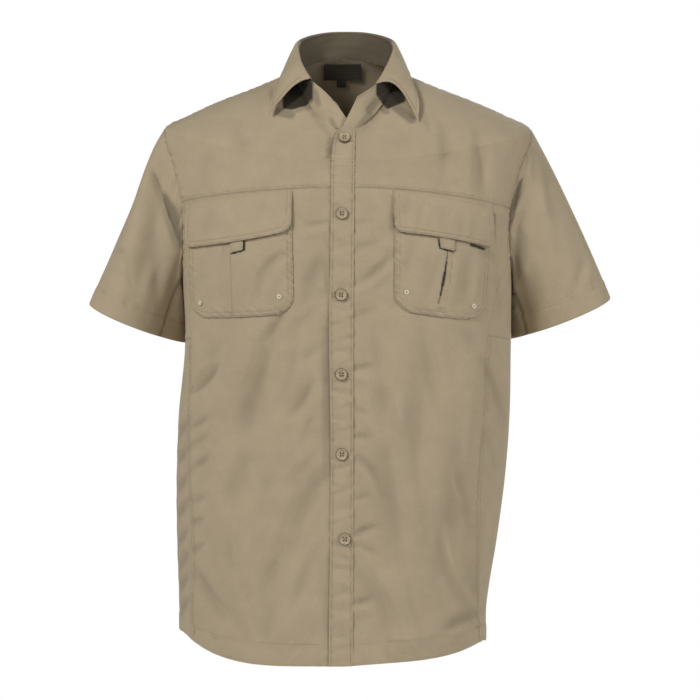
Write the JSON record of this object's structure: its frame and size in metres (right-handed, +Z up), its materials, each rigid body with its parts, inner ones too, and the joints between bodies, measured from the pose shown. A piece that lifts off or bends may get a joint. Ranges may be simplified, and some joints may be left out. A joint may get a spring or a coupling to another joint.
{
  "type": "short-sleeved shirt",
  "caption": "Short-sleeved button-through shirt with flapped chest pockets and a turned-down collar, filled out as if worn.",
  "frame": {"origin": "in the neck, level with the tops of the shoulder seams, where the wearer's shoulders hold the shirt up", "axes": "+Z up from the hem to the collar, the buttoned front faces -Y, +X towards the viewer's right (the wearer's left)"},
  "size_m": [0.6796, 0.2525, 0.8283],
  "materials": {
    "khaki_cloth": "plain woven, matt with a faint sheen",
    "button_brown": "moulded, half matt",
    "label_weave": "woven, matt"
  },
  "bodies": {
    "root": {"back_panel": "khaki_cloth", "back_yoke": "khaki_cloth", "button_band": "khaki_cloth", "collar_leaf": "khaki_cloth", "collar_stand": "khaki_cloth", "flap_tab_left": "khaki_cloth", "flap_tab_right": "khaki_cloth", "front_left_lower": "khaki_cloth", "front_left_upper": "khaki_cloth", "front_right_lower": "khaki_cloth", "front_right_upper": "khaki_cloth", "pocket_flap_left": "khaki_cloth", "pocket_flap_right": "khaki_cloth", "pocket_left": "khaki_cloth", "pocket_right": "khaki_cloth", "side_panel_left": "khaki_cloth", "side_panel_right": "khaki_cloth", "side_vent_left": "khaki_cloth", "side_vent_right": "khaki_cloth", "sleeve_left": "khaki_cloth", "sleeve_right": "khaki_cloth", "button_1": "button_brown", "button_2": "button_brown", "button_3": "button_brown", "button_4": "button_brown", "button_5": "button_brown", "button_6": "button_brown", "neck_label": "label_weave", "size_tab": "label_weave"}
  },
  "joints": []
}
